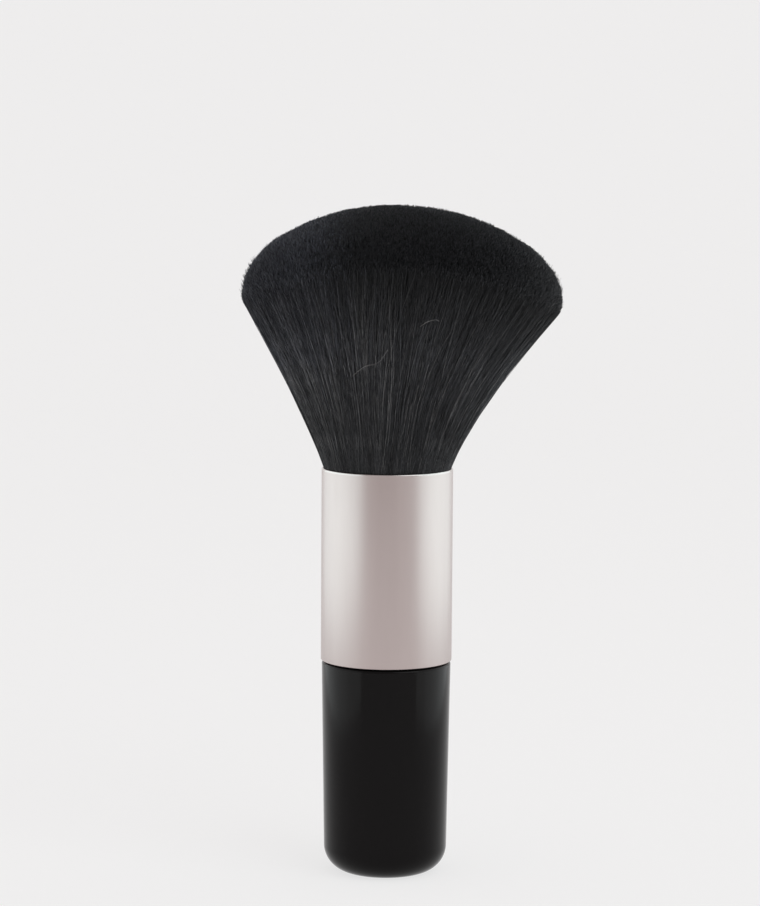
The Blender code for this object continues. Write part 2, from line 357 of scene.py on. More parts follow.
HAIR_BLACK = (0.0200, 0.0210, 0.0232, 1.0)
HAIR_DARK = (0.0430, 0.0453, 0.0502, 1.0)
HAIR_GREY = (0.1000, 0.1055, 0.1163, 1.0)
HAIR_LIGHT = (0.1800, 0.1815, 0.1850, 1.0)
HAIR_LOOSE = (0.1700, 0.1650, 0.1620, 1.0)
HAIR_TIP = (0.2900, 0.3050, 0.3350, 1.0)
HAIR_TONES = ((0.0, HAIR_BLACK), (0.55, HAIR_DARK), (0.88, HAIR_GREY), (0.96, HAIR_LIGHT), (0.98, HAIR_LOOSE))
# Painted shade and light along each hair, by its share of length: darker at the root and lower down, level at
# mid-length, and darker again towards the crown's tips, where the bundle shades itself. Hairs on the
# painted-light side take a second ramp, lighter and bluer at mid-length and darkened less at the tips:
# painted side light.
ROOT_PAINTED_SHADE = (0.44, 0.44, 0.44, 1.0)
LOW_PAINTED_SHADE = (0.57, 0.57, 0.57, 1.0)
MID_PAINTED_LEVEL = (1.01, 1.01, 1.01, 1.0)
CROWN_PAINTED_SHADE = (0.28, 0.28, 0.28, 1.0)
LIT_SIDE_MID_PAINTED_LIGHT = (1.13, 1.14, 1.21, 1.0)
LIT_SIDE_CROWN_PAINTED_SHADE = (0.645, 0.655, 0.715, 1.0)
LOWER_PAINTED_SHADES = ((0.0, ROOT_PAINTED_SHADE), (0.3, LOW_PAINTED_SHADE), (0.52, MID_PAINTED_LEVEL))
PAINTED_SHADE_BANK = LOWER_PAINTED_SHADES + ((0.62, MID_PAINTED_LEVEL), (0.93, CROWN_PAINTED_SHADE))
PAINTED_LIGHT_BANK = LOWER_PAINTED_SHADES + ((0.62, LIT_SIDE_MID_PAINTED_LIGHT), (0.93, LIT_SIDE_CROWN_PAINTED_SHADE))
# Painted glints: brighter and duller stretches along each hair stand in for the highlights that it catches
GLINT_LOW = (0.68, 0.68, 0.68, 1.0)
GLINT_PLAIN = (1.0, 1.0, 1.0, 1.0)
GLINT_HIGH = (1.55, 1.55, 1.55, 1.0)
GLINTS = ((0.36, GLINT_LOW), (0.52, GLINT_PLAIN), (0.68, GLINT_HIGH))
GLINT_ROWS = 22.0
GLINT_STEP = 3.7
# Near the cut end some hairs turn paler: partly the cut fibre's own paler end, partly painted light caught on
# the tips
TIP_START = 0.992
TIP_FULL = 0.997
TIP_SHARE = 0.8

hair, tree, shader = new_finish("black_hair", Roughness=0.40, Specular_IOR_Level=0.3)
uv = add_node(tree, "ShaderNodeUVMap", uv_map=HAIR_MAP).outputs["UV"]
split = add_node(tree, "ShaderNodeSeparateXYZ", {0: uv}).outputs
column = (Field(tree, split["X"]) * float(SHADE_COLUMNS * PAINTED_SHADE_BANKS)).step("FLOOR")
painted_light_side = (column / float(SHADE_COLUMNS)).step("FLOOR")
tone = colour_ramp(tree, (column / float(SHADE_COLUMNS) - painted_light_side).socket, HAIR_TONES)
each = add_node(tree, "ShaderNodeTexWhiteNoise", {"W": column.socket}, noise_dimensions="1D").outputs["Value"]
# The paler ends: partly the cut fibre, partly painted light on the tips
near_tip = ranged(tree, split["Y"], TIP_START * MAP_LENGTH, TIP_FULL * MAP_LENGTH, 0.0, TIP_SHARE)
tipped = Field(tree, near_tip) * Field(tree, each)
colour = blended(tree, tipped.socket, tone, HAIR_TIP)
# Painted glints along each hair, in rows along its length, different for each column
row = Field(tree, split["Y"]) * GLINT_ROWS
spot = add_node(tree, "ShaderNodeCombineXYZ", {0: (column * GLINT_STEP).socket, 1: row.socket}).outputs[0]
patches = add_node(tree, "ShaderNodeTexNoise", {"Vector": spot, "Scale": 1.0, "Detail": 1.0}).outputs["Fac"]
colour = blended(tree, 1.0, colour, colour_ramp(tree, patches, GLINTS), "MULTIPLY")
# Painted shade and light along each hair, from one of two ramps chosen by its side of the bundle
painted_shade_ramps = [colour_ramp(tree, split["Y"], stops) for stops in (PAINTED_SHADE_BANK, PAINTED_LIGHT_BANK)]
colour = blended(tree, 1.0, colour, blended(tree, painted_light_side.socket, *painted_shade_ramps), "MULTIPLY")
feed(tree, shader, Base_Color=colour)

grow = hair_tree()


def in_bundle(piece):
    """Says that a piece is part of the hair."""
    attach(piece, "root")
    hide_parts("bristle_bundle")


def grown_hair(name, **sizes):
    """A piece of hair as a plain mesh."""
    piece = bpy.data.objects.new(name, bpy.data.meshes.new(name))
    bpy.context.scene.collection.objects.link(piece)
    growth = piece.modifiers.new("growth", "NODES")
    growth.node_group = grow
    values = {key.replace("_", " "): value for key, value in sizes.items()}
    for socket in grow.interface.items_tree:
        if socket.in_out == "INPUT" and socket.name in values:
            growth[socket.identifier] = values[socket.name]
    graph = bpy.context.evaluated_depsgraph_get()
    mesh = bpy.data.meshes.new_from_object(
        piece.evaluated_get(graph), preserve_all_data_layers=True, depsgraph=graph
    )
    piece.modifiers.remove(growth)
    piece.data = mesh
    in_bundle(piece)


COAT_PIECES = 5
CROWN_PIECES = 4
CROWN_SEED = 10
FLYAWAY_SEED = 31
for number in range(1, COAT_PIECES + 1):
    grown_hair(f"hair_coat_{number}", Hair=hair, Seed=number)
# The crown's hairs have a stronger side lift: more painted light on the dome's -X side
for number in range(1, CROWN_PIECES + 1):
    grown_hair(
        f"hair_crown_{number}",
        Hair=hair,
        Seed=CROWN_SEED + number,
        Strands=24500,
        Inner_Share=0.0,
        Outer_Share=0.99,
        Start=0.90,
        Trim_Scatter=0.012,
        Points=2,
        Thickness=0.00011,
        Taper=0.0,
        Stray=0.004,
        Lock_Sway=0.0003,
        Wisp_Sway=0.00035,
        Side_Lift=0.35,
    )
# The flyaways are lifted to lighter tones: painted highlights on the hairs that lie loose over the coat
grown_hair(
    "hair_flyaways",
    Hair=hair,
    Seed=FLYAWAY_SEED,
    Strands=1300,
    Inner_Share=0.985,
    Outer_Share=1.003,
    Trim_Scatter=0.35,
    Points=8,
    Thickness=0.00009,
    Stray=0.005,
    Bow=0.0055,
    Lift=0.32,
)

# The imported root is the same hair, pressed close. It fills the ferrule's mouth and carries the mass of hair
# under the coat. It has a groove that the thread lies in, and a seat for the wooden cone in its foot.
PACKED_RADIUS = 0.0122
GROOVE_DEPTH = 0.0008
FIT_GAP = 0.0003
CONE_COLLAR = 0.0010
CONE_TIP_RADIUS = 0.0012
CORE_SHARE = 0.86
CORE_SIDES = 72
CORE_LEVELS = 14
CORE_END = 0.82
CORE_CAP_SHARES = (0.85, 0.6, 0.3)
SHARP_ANGLE = math.radians(40)


def hair_point(share, angle, reach):
    """The rule that the hairs follow, for what lies among them or on them."""
    side = share * math.cos(angle)
    across = share * math.sin(angle)
    sideways = side**2 * (CROWN_DROP + CROWN_ROLL * share**2)
    fall = CROWN_TILT * side + sideways + CROWN_FRONT_DROP * across**2
    bend_part = 2 * reach * (1 - reach)
    narrow = ((1 - reach) ** 2 + bend_part * BEND_SPREAD) * ROOT_RADIUS
    x = side * (narrow + reach**2 * CROWN_RADIUS) + reach**2 * CROWN_LEAN
    y = across * (narrow + reach**2 * CROWN_RADIUS)
    z = ROOT_Z + (CROWN_Z - ROOT_Z - fall) * (bend_part * BEND_HEIGHT + reach**2)
    return Vector((x, y, z))


def lofted(name, rings, start, end):
    """A closed mesh through rings of points, from one end point to the other."""
    points = [start]
    for ring in rings:
        points += ring
    points.append(end)
    count = len(rings[0])
    faces = []
    last = len(points) - 1
    for i in range(count):
        j = (i + 1) % count
        faces.append((0, 1 + j, 1 + i))
        faces.append((last, last - count + i, last - count + j))
        for level in range(len(rings) - 1):
            low = 1 + level * count
            high = low + count
            faces.append((low + i, low + j, high + j, high + i))
    mesh = bpy.data.meshes.new(name)
    mesh.from_pydata(points, [], faces)
    mesh.shade_smooth()
    mesh.set_sharp_from_angle(angle=SHARP_ANGLE)
    piece = bpy.data.objects.new(name, mesh)
    bpy.context.scene.collection.objects.link(piece)
    return piece


cone_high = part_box("spreader_plug")[1]
thread_low, thread_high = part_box("root_binding")
foot_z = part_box("bristle_bundle")[0].z
seat_radius = cone_high.x + FIT_GAP
seat_top = Vector((0.0, 0.0, cone_high.z + FIT_GAP))
groove_radius = PACKED_RADIUS - GROOVE_DEPTH
outline = [(CONE_TIP_RADIUS + FIT_GAP, seat_top.z), (seat_radius, foot_z + CONE_COLLAR + FIT_GAP)]
outline += [(seat_radius, foot_z), (PACKED_RADIUS, foot_z), (PACKED_RADIUS, thread_low.z - FIT_GAP)]
outline += [(groove_radius, thread_low.z - FIT_GAP), (groove_radius, thread_high.z + FIT_GAP)]
outline += [(PACKED_RADIUS, thread_high.z + FIT_GAP), (PACKED_RADIUS, ROOT_Z)]
angles = [2 * math.pi * i / CORE_SIDES for i in range(CORE_SIDES)]
rings = [[Vector((r * math.cos(a), r * math.sin(a), z)) for a in angles] for r, z in outline]
steps = [(CORE_SHARE, CORE_END * level / CORE_LEVELS) for level in range(CORE_LEVELS + 1)]
steps += [(CORE_SHARE * share, CORE_END) for share in CORE_CAP_SHARES]
rings += [[hair_point(share, angle, reach) for angle in angles] for share, reach in steps]
core = lofted("packed_root", rings, seat_top, hair_point(0.0, 0.0, CORE_END))

# The packed root is the hair's mass, but coloured nearly black with faint streaks, darker than any hair:
# painted shade for the depths of the bundle
MASS_DARK = (0.004, 0.004, 0.004, 1.0)
MASS_LIGHT = (0.018, 0.018, 0.019, 1.0)
MASS_STREAKS = ((0.3, MASS_DARK), (0.8, MASS_LIGHT))
MASS_STRETCH = (5000.0, 5000.0, 300.0)

mass, tree, shader = new_finish("packed_hair", Roughness=0.7, Specular_IOR_Level=0.2)
place = add_node(tree, "ShaderNodeTexCoord").outputs["Object"]
strands = add_node(tree, "ShaderNodeMapping", {"Vector": place, "Scale": MASS_STRETCH}).outputs["Vector"]
streaks = add_node(tree, "ShaderNodeTexNoise", {"Vector": strands, "Scale": 1.0, "Detail": 3.0})
feed(tree, shader, Base_Color=colour_ramp(tree, streaks.outputs["Fac"], MASS_STREAKS))
core.data.materials.append(mass)
in_bundle(core)

# A few loose hairs lie across the coat, where they were bent in handling. They are the same fibre.
# Each is given by the angles round the fan and the shares of a hair's length that it passes through.
LOOSE_HAIRS = (
    ((-110.7, 0.527), (-107.4, 0.554), (-102.9, 0.582), (-99.0, 0.589), (-96.1, 0.605), (-93.4, 0.644)),
    ((-81.1, 0.750), (-79.8, 0.776), (-78.2, 0.791), (-76.1, 0.793), (-74.3, 0.780)),
    ((30.0, 0.50), (36.0, 0.55), (41.0, 0.58), (48.0, 0.65)),
    ((85.0, 0.64), (91.0, 0.68), (94.0, 0.73)),
    ((130.0, 0.45), (125.0, 0.52), (122.0, 0.60)),
    ((115.0, 0.60), (111.0, 0.64), (104.0, 0.67), (101.0, 0.73)),
)
LOOSE_SHARE = 1.02
LOOSE_LIFT = 0.035
LOOSE_THICKNESS = 0.00014
LOOSE_STEPS = 6
LOOSE_MAP_U = 0.9935
LOOSE_MAP_U_STEP = 0.002
LOOSE_MAP_V = 0.50
LOOSE_MAP_V_SPAN = 0.1


def smooth_path(points, steps):
    """More points along a smooth curve through the given ones."""
    padded = [points[0] * 2 - points[1], *points, points[-1] * 2 - points[-2]]
    path = []
    for i in range(1, len(padded) - 2):
        before, here, there, after = padded[i - 1 : i + 3]
        for step in range(steps):
            part = step / steps
            bent = (there - before) * part + (before * 2 - here * 5 + there * 4 - after) * part**2
            path.append(here + (bent + (here * 3 - before - there * 3 + after) * part**3) / 2)
    path.append(points[-1])
    return path


points, faces, mapped = [], [], []
for waypoints in LOOSE_HAIRS:
    stations = []
    for number, (angle, reach) in enumerate(waypoints):
        lift = LOOSE_LIFT * math.sin(math.pi * number / (len(waypoints) - 1))
        stations.append(hair_point(LOOSE_SHARE + lift, math.radians(angle), reach))
    path = smooth_path(stations, LOOSE_STEPS)
    first = len(points)
    for i, middle in enumerate(path):
        ahead = path[min(i + 1, len(path) - 1)] - path[max(i - 1, 0)]
        out = Vector((middle.x, middle.y, 0.0)).normalized()
        beside = ahead.cross(out).normalized()
        out = beside.cross(ahead).normalized()
        for k in range(HAIR_SIDES):
            turn = 2 * math.pi * k / HAIR_SIDES
            points.append(middle + (out * math.cos(turn) + beside * math.sin(turn)) * LOOSE_THICKNESS / 2)
            map_v = LOOSE_MAP_V + LOOSE_MAP_V_SPAN * i / len(path)
            mapped.append((LOOSE_MAP_U + LOOSE_MAP_U_STEP * k, map_v))
    for low in range(first, len(points) - HAIR_SIDES, HAIR_SIDES):
        high = low + HAIR_SIDES
        for k in range(HAIR_SIDES):
            following = (k + 1) % HAIR_SIDES
            faces.append((low + k, low + following, high + following, high + k))
    last = len(points) - HAIR_SIDES
    faces.append(tuple(first + k for k in reversed(range(HAIR_SIDES))))
    faces.append(tuple(last + k for k in range(HAIR_SIDES)))
mesh = bpy.data.meshes.new("loose_hairs")
mesh.from_pydata(points, [], faces)
mesh.shade_smooth()
uv_layer = mesh.uv_layers.new(name=HAIR_MAP)
for corner in mesh.loops:
    uv_layer.data[corner.index].uv = mapped[corner.vertex_index]
mesh.materials.append(hair)
loose = bpy.data.objects.new("loose_hairs", mesh)
bpy.context.scene.collection.objects.link(loose)
in_bundle(loose)

# The wooden cone in the middle of the roots is turned from a light hardwood and left bare.
# It is pressed up into the bundle from below and is hidden once the roots are potted.
WOOD_PALE = (0.56, 0.39, 0.23, 1.0)
WOOD_DARK = (0.36, 0.22, 0.11, 1.0)
WOOD_GRAIN = ((0.2, WOOD_PALE), (0.9, WOOD_DARK))
WOOD_RINGS = {"Scale": 900.0, "Distortion": 2.5, "Detail": 3.0}


def wear(node, material):
    """Puts a material on a node that keeps its own mesh."""
    node.data.materials.clear()
    node.data.materials.append(material)


wood, tree, shader = new_finish("bare_hardwood", Roughness=0.62)
place = add_node(tree, "ShaderNodeTexCoord").outputs["Object"]
wood_rings = add_node(tree, "ShaderNodeTexWave", {"Vector": place, **WOOD_RINGS}).outputs["Fac"]
feed(tree, shader, Base_Color=colour_ramp(tree, wood_rings, WOOD_GRAIN))
wear(nodes["spreader_plug"], wood)

# The thread that ties the bundle is waxed cotton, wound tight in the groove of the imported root.
# Its twist shows as fine slanting lines.
THREAD_PALE = (0.72, 0.68, 0.60, 1.0)
THREAD_SHADE = (0.46, 0.41, 0.34, 1.0)
THREAD_TONES = ((0.1, THREAD_SHADE), (0.7, THREAD_PALE))
THREAD_SLANT = (0.6, 0.4, 0.3)
THREAD_TWIST = {"Scale": 1500.0, "Distortion": 1.0}

thread, tree, shader = new_finish("waxed_thread", Roughness=0.7)
place = add_node(tree, "ShaderNodeTexCoord").outputs["Object"]
slant = add_node(tree, "ShaderNodeMapping", {"Vector": place, "Rotation": THREAD_SLANT}).outputs["Vector"]
twist = add_node(tree, "ShaderNodeTexWave", {"Vector": slant, **THREAD_TWIST}).outputs["Fac"]
lay = add_node(tree, "ShaderNodeBump", {"Strength": 0.6, "Distance": 0.0001, "Height": twist})
feed(tree, shader, Base_Color=colour_ramp(tree, twist, THREAD_TONES), Normal=lay.outputs["Normal"])
wear(nodes["root_binding"], thread)

# The ferrule is a drawn aluminium tube, satin blasted and anodised champagne, with a rolled, polished rim.
# It is slipped over the bundle from below, and pressed over the handle's tenon.
TUBE_SIDES = 160
TUBE_WALL = 0.0006
TUBE_FOOT_ROUND = 0.00015
TUBE_FOOT_STEPS = 4
ARC_STEPS = 8
ANODISED = (0.540, 0.462, 0.449, 1.0)
ANODISED_DEEP = (0.520, 0.442, 0.429, 1.0)
ANODISED_TONES = ((0.0, ANODISED_DEEP), (1.0, ANODISED))
# The rim's paler colour is partly the polished metal and partly a painted highlight along the lip
RIM_POLISH_AND_HIGHLIGHT = (0.580, 0.525, 0.510, 1.0)
RIM_POLISH = 0.16
RIM_POLISH_FROM = 0.0005
RIM_POLISH_BY = 0.0003
SPECK_SHADE = (0.380, 0.330, 0.310, 1.0)
SATIN_GRAIN = (4000.0, 4000.0, 120.0)
SATIN_SMUDGE = (260.0, 260.0, 30.0)
SATIN_SPECKS = 300.0
SATIN_ROUGHNESS = (0.36, 0.40)
NOISE_RANGE = (0.3, 0.7)
SPECK_RADII = (0.03, 0.06)
SPECK_CHANCE = 0.8


def arc(centre_r, centre_z, radius, start_deg, end_deg, steps=ARC_STEPS):
    """Points of a circular arc in the (radius, height) plane, both ends included."""
    points = []
    for i in range(steps + 1):
        angle = math.radians(start_deg + (end_deg - start_deg) * i / steps)
        points.append((centre_r + radius * math.cos(angle), centre_z + radius * math.sin(angle)))
    return points


def turned(name, profile, material, sides=TUBE_SIDES):
    """A closed mesh turned about Z. Points on the axis become poles; a profile with none is a ring."""
    points, rows, faces = [], [], []
    for radius, height in profile:
        if radius == 0.0:
            rows.append([len(points)] * sides)
            points.append((0.0, 0.0, height))
            continue
        rows.append(list(range(len(points), len(points) + sides)))
        for i in range(sides):
            angle = 2 * math.pi * i / sides
            points.append((radius * math.cos(angle), radius * math.sin(angle), height))
    pairs = list(zip(rows, rows[1:]))
    if profile[0][0] > 0.0:
        pairs.append((rows[-1], rows[0]))
    for upper, lower in pairs:
        for i in range(sides):
            j = (i + 1) % sides
            corners = dict.fromkeys((upper[i], lower[i], lower[j], upper[j]))
            faces.append(tuple(corners))
    mesh = bpy.data.meshes.new(name)
    mesh.from_pydata(points, [], faces)
    mesh.shade_smooth()
    mesh.set_sharp_from_angle(angle=SHARP_ANGLE)
    mesh.materials.append(material)
    piece = bpy.data.objects.new(name, mesh)
    bpy.context.scene.collection.objects.link(piece)
    return piece


def fine_finish():
    """Shader group: a fine grain, a broad smudge and a few specks, each from 0 to 1 over the surface."""
    group = bpy.data.node_groups.new("fine_finish", "ShaderNodeTree")
    group.interface.new_socket("Place", in_out="INPUT", socket_type="NodeSocketVector")
    group.interface.new_socket("Grain Scale", in_out="INPUT", socket_type="NodeSocketVector")
    group.interface.new_socket("Smudge Scale", in_out="INPUT", socket_type="NodeSocketVector")
    group.interface.new_socket("Speck Scale", in_out="INPUT", socket_type="NodeSocketFloat")
    for name in ("Grain", "Smudge", "Specks"):
        group.interface.new_socket(name, in_out="OUTPUT", socket_type="NodeSocketFloat")
    given = add_node(group, "NodeGroupInput").outputs
    spread = {}
    for name in ("Grain", "Smudge"):
        scales = {0: given["Place"], 1: given[f"{name} Scale"]}
        scaled = add_node(group, "ShaderNodeVectorMath", scales, operation="MULTIPLY").outputs[0]
        noise = add_node(group, "ShaderNodeTexNoise", {"Vector": scaled, "Scale": 1.0, "Detail": 3.0})
        spread[name] = ranged(group, noise.outputs["Fac"], *NOISE_RANGE, 0.0, 1.0)
    cells = add_node(group, "ShaderNodeTexVoronoi", {"Vector": given["Place"], "Scale": given["Speck Scale"]})
    spot = ranged(group, cells.outputs["Distance"], *SPECK_RADII, 1.0, 0.0)
    chosen = Field(group, add_node(group, "ShaderNodeSeparateXYZ", {0: cells.outputs["Color"]}).outputs[0])
    specks = Field(group, spot) * chosen.step("GREATER_THAN", SPECK_CHANCE)
    add_node(group, "NodeGroupOutput", {0: spread["Grain"], 1: spread["Smudge"], 2: specks.socket})
    return group


finish = fine_finish()


def finished(tree, place, grain_scale, smudge_scale, speck_scale):
    """The shared group placed in a material. Returns its outputs."""
    sizes = {"Grain Scale": grain_scale, "Smudge Scale": smudge_scale, "Speck Scale": speck_scale}
    return add_node(tree, "ShaderNodeGroup", {"Place": place, **sizes}, node_tree=finish).outputs


satin, tree, shader = new_finish("satin_champagne", Metallic=1.0)
place = add_node(tree, "ShaderNodeTexCoord").outputs["Object"]
worn = finished(tree, place, SATIN_GRAIN, SATIN_SMUDGE, SATIN_SPECKS)
height = add_node(tree, "ShaderNodeSeparateXYZ", {0: place}).outputs["Z"]
rim_share = ranged(tree, height, RIM_Z - RIM_POLISH_FROM, RIM_Z - RIM_POLISH_BY, 0.0, 1.0)
colour = colour_ramp(tree, worn["Smudge"], ANODISED_TONES)
# The rim is paler: partly polished metal, partly a painted highlight along the lip
colour = blended(tree, rim_share, colour, RIM_POLISH_AND_HIGHLIGHT)
colour = blended(tree, worn["Specks"], colour, SPECK_SHADE)
blasted = Field(tree, ranged(tree, worn["Grain"], 0.0, 1.0, *SATIN_ROUGHNESS))
polished = blasted - Field(tree, rim_share) * RIM_POLISH
drawn = add_node(tree, "ShaderNodeBump", {"Strength": 0.05, "Distance": 0.00001, "Height": worn["Grain"]})
feed(tree, shader, Base_Color=colour, Roughness=polished.socket, Normal=drawn.outputs["Normal"])

tube_low, tube_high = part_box("ferrule")
half_wall = TUBE_WALL / 2
rim = arc(tube_high.x - half_wall, tube_high.z - half_wall, half_wall, 180, 0)
foot_round = (tube_high.x - TUBE_FOOT_ROUND, tube_low.z + TUBE_FOOT_ROUND, TUBE_FOOT_ROUND)
foot = arc(*foot_round, 0, -90, TUBE_FOOT_STEPS)
ferrule = turned("ferrule_tube", rim + foot + [(tube_high.x - TUBE_WALL, tube_low.z)], satin)
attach(ferrule, "root")
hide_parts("ferrule")

# The resin is cast round the ends of the roots and bonds them to the ferrule.
# It sets amber, with clouding where fine bubbles were caught.
RESIN_CLEAR = (0.36, 0.21, 0.07, 1.0)
RESIN_CLOUDED = (0.52, 0.38, 0.20, 1.0)
RESIN_TONES = ((0.42, RESIN_CLEAR), (0.70, RESIN_CLOUDED))
RESIN_CLOUDS = {"Scale": 420.0, "Detail": 5.0}

resin, tree, shader = new_finish("cast_resin", Roughness=0.16)
place = add_node(tree, "ShaderNodeTexCoord").outputs["Object"]
cloud = add_node(tree, "ShaderNodeTexNoise", {"Vector": place, **RESIN_CLOUDS}).outputs["Fac"]
feed(tree, shader, Base_Color=colour_ramp(tree, cloud, RESIN_TONES))
wear(nodes["root_resin"], resin)

# The weight in the end of the handle is sawn from steel bar and tumbled, so it is dull with fine saw lines.
# It is glued to the floor of the handle's cavity.
STEEL_BRIGHT = (0.50, 0.50, 0.51, 1.0)
STEEL_DULL = (0.33, 0.33, 0.34, 1.0)
STEEL_TONES = ((0.0, STEEL_DULL), (1.0, STEEL_BRIGHT))
STEEL_GRAIN = (400.0, 6000.0, 400.0)
STEEL_SMUDGE = (300.0, 300.0, 300.0)
STEEL_SPECKS = 400.0
STEEL_ROUGHNESS = (0.36, 0.52)

steel, tree, shader = new_finish("tumbled_steel", Metallic=1.0)
place = add_node(tree, "ShaderNodeTexCoord").outputs["Object"]
worn = finished(tree, place, STEEL_GRAIN, STEEL_SMUDGE, STEEL_SPECKS)
dull = ranged(tree, worn["Smudge"], 0.0, 1.0, *STEEL_ROUGHNESS)
feed(tree, shader, Base_Color=colour_ramp(tree, worn["Grain"], STEEL_TONES), Roughness=dull)
wear(nodes["handle_weight"], steel)

# The handle is a glossy black moulding, hollow, with a rounded end and a small flat to stand on.
# Its tenon holds the ferrule, which comes down to a fine line at the shoulder.
HANDLE_TOP_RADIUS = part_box("handle_shell")[1].x
HANDLE_END_RADIUS = 0.0127
HANDLE_END_ROUND = 0.0055
HANDLE_END_STEPS = 24
HANDLE_EDGE_ROUND = 0.0006
HANDLE_FLOOR = 0.0026
CAVITY_RADIUS = 0.0100
SHOULDER_Z = tube_low.z - FIT_GAP
TENON_GAP = 0.0006
TENON_RADIUS = tube_high.x - TUBE_WALL - TENON_GAP
TENON_WALL = 0.0022
TENON_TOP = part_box("handle_shell")[1].z
MOULDED_BLACK = (0.0030, 0.0030, 0.0034, 1.0)
MOULDED_DUST = (0.0120, 0.0118, 0.0116, 1.0)
MOULDED_SHEEN = (1.0, 0.93, 0.91, 1.0)
MOULDED_GRAIN = (2500.0, 2500.0, 2500.0)
MOULDED_SMUDGE = (140.0, 140.0, 90.0)
MOULDED_SPECKS = 260.0
MOULDED_ROUGHNESS = (0.11, 0.17)

gloss, tree, shader = new_finish("gloss_black", Specular_IOR_Level=0.13, Specular_Tint=MOULDED_SHEEN)
place = add_node(tree, "ShaderNodeTexCoord").outputs["Object"]
worn = finished(tree, place, MOULDED_GRAIN, MOULDED_SMUDGE, MOULDED_SPECKS)
colour = blended(tree, worn["Specks"], MOULDED_BLACK, MOULDED_DUST)
rough = ranged(tree, worn["Smudge"], 0.0, 1.0, *MOULDED_ROUGHNESS)
skin = add_node(tree, "ShaderNodeBump", {"Strength": 0.03, "Distance": 0.00001, "Height": worn["Grain"]})
feed(tree, shader, Base_Color=colour, Roughness=rough, Normal=skin.outputs["Normal"])

edge_r = HANDLE_TOP_RADIUS - HANDLE_EDGE_ROUND
end_r = HANDLE_END_RADIUS - HANDLE_END_ROUND
profile = [(0.0, HANDLE_FLOOR), (CAVITY_RADIUS, HANDLE_FLOOR), (TENON_RADIUS - TENON_WALL, TENON_TOP)]
profile += [(TENON_RADIUS, TENON_TOP), (TENON_RADIUS, SHOULDER_Z)]
profile += arc(edge_r, SHOULDER_Z - HANDLE_EDGE_ROUND, HANDLE_EDGE_ROUND, 90, 0)
profile += arc(end_r, HANDLE_END_ROUND, HANDLE_END_ROUND, 0, -90, HANDLE_END_STEPS)
profile += [(0.0, 0.0)]
handle = turned("handle_body", profile, gloss)
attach(handle, "root")
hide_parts("handle_shell")

# The stage is a pale sweep that runs from the floor up behind the brush, with a low curled edge on its other
# sides. Three panels at each side light the brush and not the sweep, and the ferrule with a cooler light than
# the rest. A soft lamp in front and above lights everything and gives the brush its shadow.
SWEEP_WIDTH = 10.0
SWEEP_FRONT = -5.0
SWEEP_BACK = 0.9
SWEEP_RADIUS = 0.6
SWEEP_STEPS = 16
SWEEP_HEIGHT = 2.4
SWEEP_EDGE = 1.0
SWEEP_EDGE_RISE = 0.5
SWEEP_EDGE_STEPS = 8
PAPER_WHITE = (0.90, 0.90, 0.90, 1.0)
GLOW_WHITE = (1.0, 1.0, 1.0, 1.0)
PAPER_GLOW = 1.0
PAPER_SHARE = 0.72
ROOM_LIGHT = 0.53
ROOM_COLOUR = (1.0, 0.92, 0.91, 1.0)
LAMP_COLOUR = (0.885, 0.985, 1.0)
METAL_LAMP_COLOUR = (0.775, 0.995, 1.005)
METAL_LAMP_GAIN = 1.10
TOP_PLACE = (0.50, -0.50, 0.66)
TOP_AIM = (0.0, 0.0, 0.10)
TOP_SIZE = 0.6
TOP_BRIGHTNESS = 1.4

# Each panel's name, its place in X and Y, its width, its height from the floor, and its brightness
PANELS = (
    ("left_feather", -0.20, -0.135, 0.14, 0.24, 0.80),
    ("left_panel", -0.20, 0.01, 0.15, 0.24, 0.96),
    ("left_rear", -0.20, 0.16, 0.15, 0.24, 0.80),
    ("right_feather", 0.20, -0.105, 0.08, 0.36, 0.70),
    ("right_panel", 0.20, 0.01, 0.15, 0.36, 0.97),
    ("right_rear", 0.20, 0.16, 0.15, 0.36, 0.79),
)

rise = []
for i in range(SWEEP_EDGE_STEPS + 1):
    share = 1 - i / SWEEP_EDGE_STEPS
    rise.append((SWEEP_EDGE * share, SWEEP_EDGE_RISE * share**2))
line = [(SWEEP_FRONT + SWEEP_EDGE - out, z) for out, z in rise]
line += arc(SWEEP_BACK, SWEEP_RADIUS, SWEEP_RADIUS, -90, 0, SWEEP_STEPS)
line.append((SWEEP_BACK + SWEEP_RADIUS, SWEEP_HEIGHT))
inner = SWEEP_WIDTH / 2 - SWEEP_EDGE
columns = [(-inner - out, lift) for out, lift in rise] + [(inner + out, lift) for out, lift in reversed(rise)]
points = [(x, y, max(z, lift)) for x, lift in columns for y, z in line]
count = len(line)
corners = [column * count + i for column in range(len(columns) - 1) for i in range(count - 1)]
mesh = bpy.data.meshes.new("sweep")
mesh.from_pydata(points, [], [(low, low + count, low + count + 1, low + 1) for low in corners])
mesh.shade_smooth()
sweep = bpy.data.objects.new("sweep", mesh)
bpy.context.scene.collection.objects.link(sweep)

paper, tree, shader = new_finish("white_paper", Base_Color=PAPER_WHITE, Roughness=0.9, Specular_IOR_Level=0.1)
ray = add_node(tree, "ShaderNodeLightPath").outputs
seen = Field(tree, ray["Is Camera Ray"]) + Field(tree, ray["Is Glossy Ray"])
seen = seen + Field(tree, ray["Is Transmission Ray"])
share = seen.step("MINIMUM", 1.0) * PAPER_SHARE
glow = add_node(tree, "ShaderNodeEmission", {"Color": GLOW_WHITE, "Strength": PAPER_GLOW})
mixed = add_node(tree, "ShaderNodeMixShader", {0: share.socket, 1: shader.outputs[0], 2: glow.outputs[0]})
tree.links.new(mixed.outputs[0], tree.nodes["Material Output"].inputs["Surface"])
mesh.materials.append(paper)

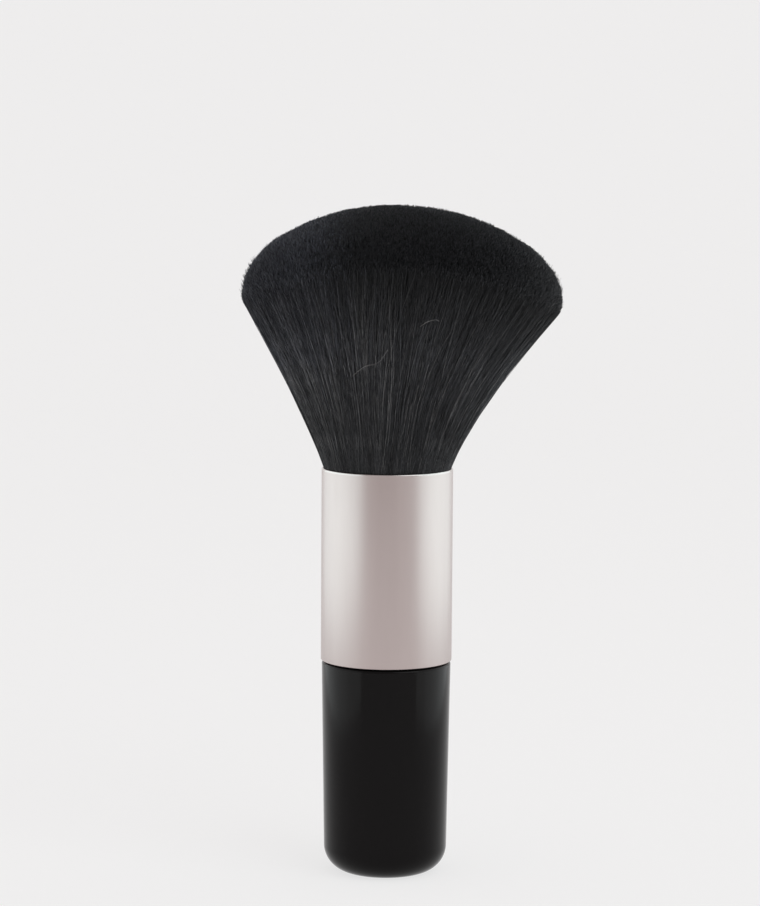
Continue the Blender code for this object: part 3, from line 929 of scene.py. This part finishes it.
world = bpy.data.worlds.new("studio")
bpy.context.scene.world = world
world.use_nodes = True
room = world.node_tree.nodes["Background"].inputs
room["Color"].default_value = ROOM_COLOUR
room["Strength"].default_value = ROOM_LIGHT


def receivers(name, pieces, state):
    """The pieces that a lamp lights alone, or that it leaves unlit."""
    linked = bpy.data.collections.new(name)
    for number, piece in enumerate(pieces):
        linked.objects.link(piece)
        linked.collection_objects[number].light_linking.link_state = state
    return linked


def softbox(name, place, aim, width, height, brightness, colour=LAMP_COLOUR):
    """A soft rectangular lamp at a place, turned to a point, with that brightness all over its front."""
    lamp = bpy.data.lights.new(name, "AREA")
    lamp.shape = "RECTANGLE"
    lamp.size = width
    lamp.size_y = height
    lamp.color = colour
    lamp.energy = brightness * math.pi * width * height
    holder = bpy.data.objects.new(name, lamp)
    holder.location = place
    holder.rotation_euler = (Vector(aim) - Vector(place)).to_track_quat("-Z", "Y").to_euler()
    holder.visible_camera = False
    bpy.context.scene.collection.objects.link(holder)
    return holder


metal = receivers("metal", [ferrule], "INCLUDE")
other_pieces = receivers("other_pieces", [sweep, ferrule], "EXCLUDE")
softbox("top_softbox", TOP_PLACE, TOP_AIM, TOP_SIZE, TOP_SIZE, TOP_BRIGHTNESS)
for name, x, y, width, height, brightness in PANELS:
    place = (x, y, height / 2)
    aim = (0.0, y, height / 2)
    panel = softbox(name, place, aim, width, height, brightness)
    panel.light_linking.receiver_collection = other_pieces
    brightness *= METAL_LAMP_GAIN
    panel = softbox(f"{name}_metal", place, aim, width, height, brightness, METAL_LAMP_COLOUR)
    panel.light_linking.receiver_collection = metal

# The camera stands in front of the brush and a little above it, as it was photographed.
# Its distance and its aim come from the photograph's scale, and from where the rim lies in it.
PHOTO_WIDTH, PHOTO_HEIGHT = 760, 906
METRES_PER_PIXEL = 0.0002051
PHOTO_AXIS_X, PHOTO_RIM_Y = 387.5, 467.5
ELEVATION = math.radians(6.0)
ROLL = math.radians(0.36)
LENS = 120.0
NEAREST = 0.01

camera = bpy.data.cameras.new("camera")
camera.lens = LENS
camera.clip_start = NEAREST
eye = bpy.data.objects.new("camera", camera)
distance = PHOTO_HEIGHT * METRES_PER_PIXEL * LENS / camera.sensor_width
aim_x = (PHOTO_WIDTH / 2 - PHOTO_AXIS_X) * METRES_PER_PIXEL
aim_z = RIM_Z + (PHOTO_RIM_Y - PHOTO_HEIGHT / 2) * METRES_PER_PIXEL / math.cos(ELEVATION)
aim = Vector((aim_x, 0.0, aim_z))
eye.location = aim + distance * Vector((0.0, -math.cos(ELEVATION), math.sin(ELEVATION)))
turn = (aim - eye.location).to_track_quat("-Z", "Y") @ Quaternion((0.0, 0.0, 1.0), ROLL)
eye.rotation_euler = turn.to_euler()
bpy.context.scene.collection.objects.link(eye)
bpy.context.scene.camera = eye
bpy.context.scene.view_settings.view_transform = "Standard"
